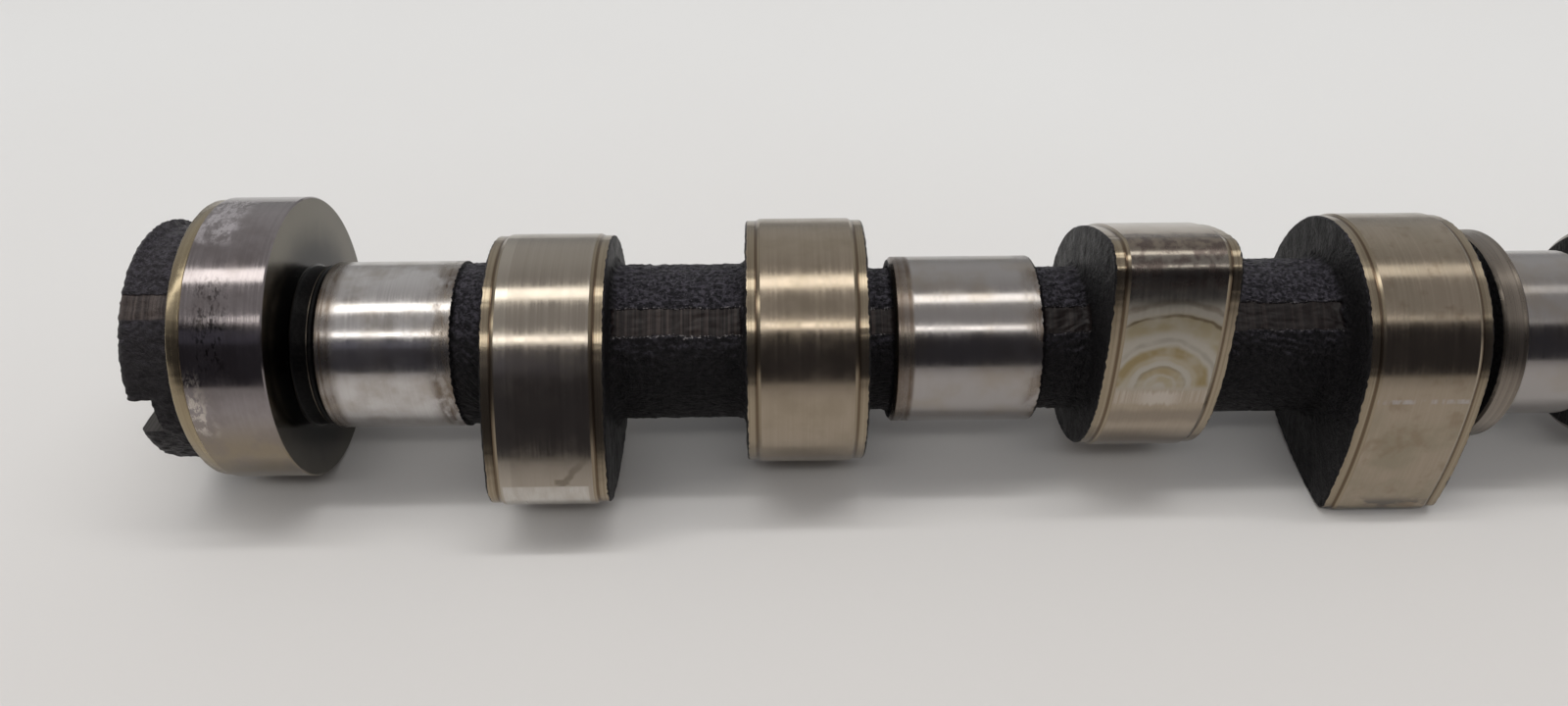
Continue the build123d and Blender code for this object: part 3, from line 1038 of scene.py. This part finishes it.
def all_materials():
    """Every finish, in the order of the mesh's slots. A pair of shades is bright, then dull."""
    warm = ((0.352, 0.297, 0.232), (0.322, 0.268, 0.206))
    pale = ((0.37, 0.33, 0.28), (0.34, 0.30, 0.25))
    neutral = ((0.575, 0.555, 0.545), (0.525, 0.505, 0.495))
    violet = ((0.290, 0.262, 0.264), (0.258, 0.232, 0.234))
    yellow = ((0.36, 0.30, 0.20), (0.29, 0.235, 0.155))
    olive = ((0.142, 0.130, 0.104), (0.115, 0.105, 0.084))
    faced = ((0.42, 0.39, 0.35), (0.30, 0.27, 0.24))
    turned = ((0.27, 0.235, 0.20), (0.18, 0.155, 0.13))
    milled = ((0.14, 0.13, 0.125), (0.08, 0.075, 0.07))
    return [
        cast_skin(),
        ground_iron("turned_face", faced, 0.34),
        ground_iron("eccentric_land", violet, 0.10, disc_wear),
        ground_iron("eccentric_shoulder", yellow, 0.22),
        ground_iron("eccentric_face", olive, 0.16, face_corner_shade),
        ground_iron("ground_journal", neutral, 0.15, journal_stains),
        ground_iron("cam_first", pale, 0.14, nose_patch),
        ground_iron("cam_second", warm, 0.17, warm_film),
        ground_iron("cam_third", warm, 0.12, lapped_arcs),
        ground_iron("cam_fourth", warm, 0.15, flank_film),
        cam_shoulder(),
        ground_iron("collar_turning", turned, 0.28),
        relief_shade(),
        ground_iron("slot_wall", milled, 0.5),
    ]


# ---- the camshaft
camshaft_rings = swept_rings()
roughen(camshaft_rings)
body = in_scene("camshaft_body", closed_mesh(camshaft_rings, all_materials()))
cut_slot(body, slot_cutter())

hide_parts("camshaft")
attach(body, "root")


# ---- bench
def bench_paint():
    """Pale laminate with painted light: brighter towards the far side, and painted shade further
    out on the near side.
    """
    paint = Paint("bench")
    # Painted light: brighter towards the far side.
    painted_far_light = paint.step(paint.y, -110.0, 160.0)
    colour = paint.mix(painted_far_light, (0.64, 0.62, 0.605), (0.735, 0.735, 0.73))
    # Painted shade on the near side, where a shadow falls across the bench.
    colour = paint.mix(paint.step(paint.y, -55.0, -240.0), colour, (0.48, 0.46, 0.45))
    cloud = paint.step(paint.noise(0.006, 2.0), 0.3, 0.7, 0.0, 0.12)
    colour = paint.mix(cloud, colour, (0.63, 0.60, 0.58))
    return paint.done(colour, 0.55, 0.0, Specular_IOR_Level=0.35)


def bench():
    """A wide plane that touches the disc and the fourth cam's nose from below."""
    reach = 2500.0
    disc_bottom = eccentric_offset * sin(eccentric_angle) - eccentric_radius
    disc_x = (eccentric_land_rear + eccentric_front) / 2
    nose_centre = fourth_cam["base"] + fourth_cam["lift"] - fourth_cam["nose"]
    nose_bottom = nose_centre * sin(fourth_cam["angle"]) - fourth_cam["nose"]
    slope = (nose_bottom - disc_bottom) / (fourth_cam["x"] - disc_x)
    corners = []
    for x, y in ((-reach, -reach), (reach, -reach), (reach, reach), (-reach, reach)):
        corners.append(((disc_x + x) * MM, y * MM, (disc_bottom + x * slope) * MM))
    mesh = mesh_of("bench", corners, [(0, 1, 2, 3)])
    mesh.materials.append(bench_paint())
    return in_scene("bench", mesh)


bench_object = bench()


# ---- studio
def studio():
    """A room seen by its height above the near side of the horizon.

    Two long lamps run parallel to the shaft, one a little behind straight overhead and
    one in front, with a faint glow under it.  Low on the near side the room is dark, and
    elsewhere it is a grey ceiling.  The camera itself sees a plain pale background.
    """
    world = bpy.data.worlds.new("studio")
    bpy.context.scene.world = world
    world.use_nodes = True
    room = Nodes(world.node_tree)
    place = room.node("ShaderNodeTexCoord").outputs["Generated"]
    sideways, away, up = room.node("ShaderNodeSeparateXYZ", Vector=place).outputs
    height = room.math("ARCTAN2", up, room.product(away, -1.0))
    colour = (0.043, 0.041, 0.047)
    for low, high, shade in (
        (46.0, 56.0, (0.42, 0.41, 0.41)),
        (103.0, 140.0, (0.55, 0.55, 0.55)),
        (155.0, 178.0, (0.41, 0.41, 0.41)),
    ):
        colour = room.mix(room.step(height, radians(low), radians(high)), colour, shade)
    for centre, lean, half, soft, left, right, strength in (
        (39.5, 0.0, 3.5, 3.5, (-0.50, -0.45), (-0.12, -0.2), (0.11, 0.11, 0.135)),
        (93.7, 0.2, 4.6, 2.2, (-0.95, -0.90), (0.75, 0.1), (3.6, 3.55, 3.4)),
        (52.5, 0.0, 1.5, 1.4, (-0.41, -0.375), (0.62, 0.1), (5.2, 5.1, 4.9)),
    ):
        leaned = room.line(sideways, -lean, height)
        strip = room.band(leaned, radians(centre), radians(half), radians(soft))
        strip = room.product(strip, room.step(sideways, *left), room.step(sideways, *right))
        colour = room.mix(strip, colour, strength)
    seen = room.node("ShaderNodeLightPath").outputs["Is Camera Ray"]
    colour = room.mix(seen, colour, (0.80, 0.80, 0.795))
    room.feed(world.node_tree.nodes["Background"].inputs["Color"], colour)


look_at = Vector((-115.95, 0, 0))


def aimed(across, up, back, place):
    """The matrix of an object with these axes, at a place in millimetres."""
    return Matrix.Translation(place * MM) @ Matrix((across, up, back)).transposed().to_4x4()


def lamp(name, height_angle, distance, width, power):
    """A long lamp parallel to the shaft that lights its surroundings but leaves no glare."""
    light = bpy.data.lights.new(name, "AREA")
    light.shape = "RECTANGLE"
    light.size = 1600.0 * MM
    light.size_y = width * MM
    light.energy = power
    holder = in_scene(name, light)
    across = Vector((1, 0, 0))
    away = Vector((0, -cos(height_angle), sin(height_angle)))
    holder.matrix_world = aimed(across, away.cross(across), away, look_at + away * distance)
    holder.visible_glossy = False


studio()
lamp("key", radians(95.5), 1100.0, 70.0, 4.35)
lamp("fill", radians(53.0), 1200.0, 300.0, 1.9)
lamp("low", radians(24.0), 1200.0, 300.0, 0.7)


# ---- camera
def near_camera():
    """A camera that looks down on the near side, almost square to the shaft."""
    elevation = radians(40.0)
    roll = 0.011
    turn = -0.015
    distance = 185.651
    drop = 2.08
    right = Vector((1, 0, 0))
    up = Vector((0, sin(elevation), cos(elevation)))
    back = Vector((0, -cos(elevation), sin(elevation)))
    camera_z = (back + turn * right).normalized()
    camera_y = (up + roll * right).normalized()
    camera_y = (camera_y - camera_y.dot(camera_z) * camera_z).normalized()
    camera_x = camera_y.cross(camera_z)
    lens = bpy.data.cameras.new("camera")
    lens.sensor_width = 36.0
    lens.lens = 26.835
    lens.clip_start = 5.0 * MM
    made = in_scene("camera", lens)
    place = look_at - drop * camera_y + distance * camera_z
    made.matrix_world = aimed(camera_x, camera_y, camera_z, place)
    return made


bpy.context.scene.camera = near_camera()
bpy.context.scene.view_settings.view_transform = "Standard"
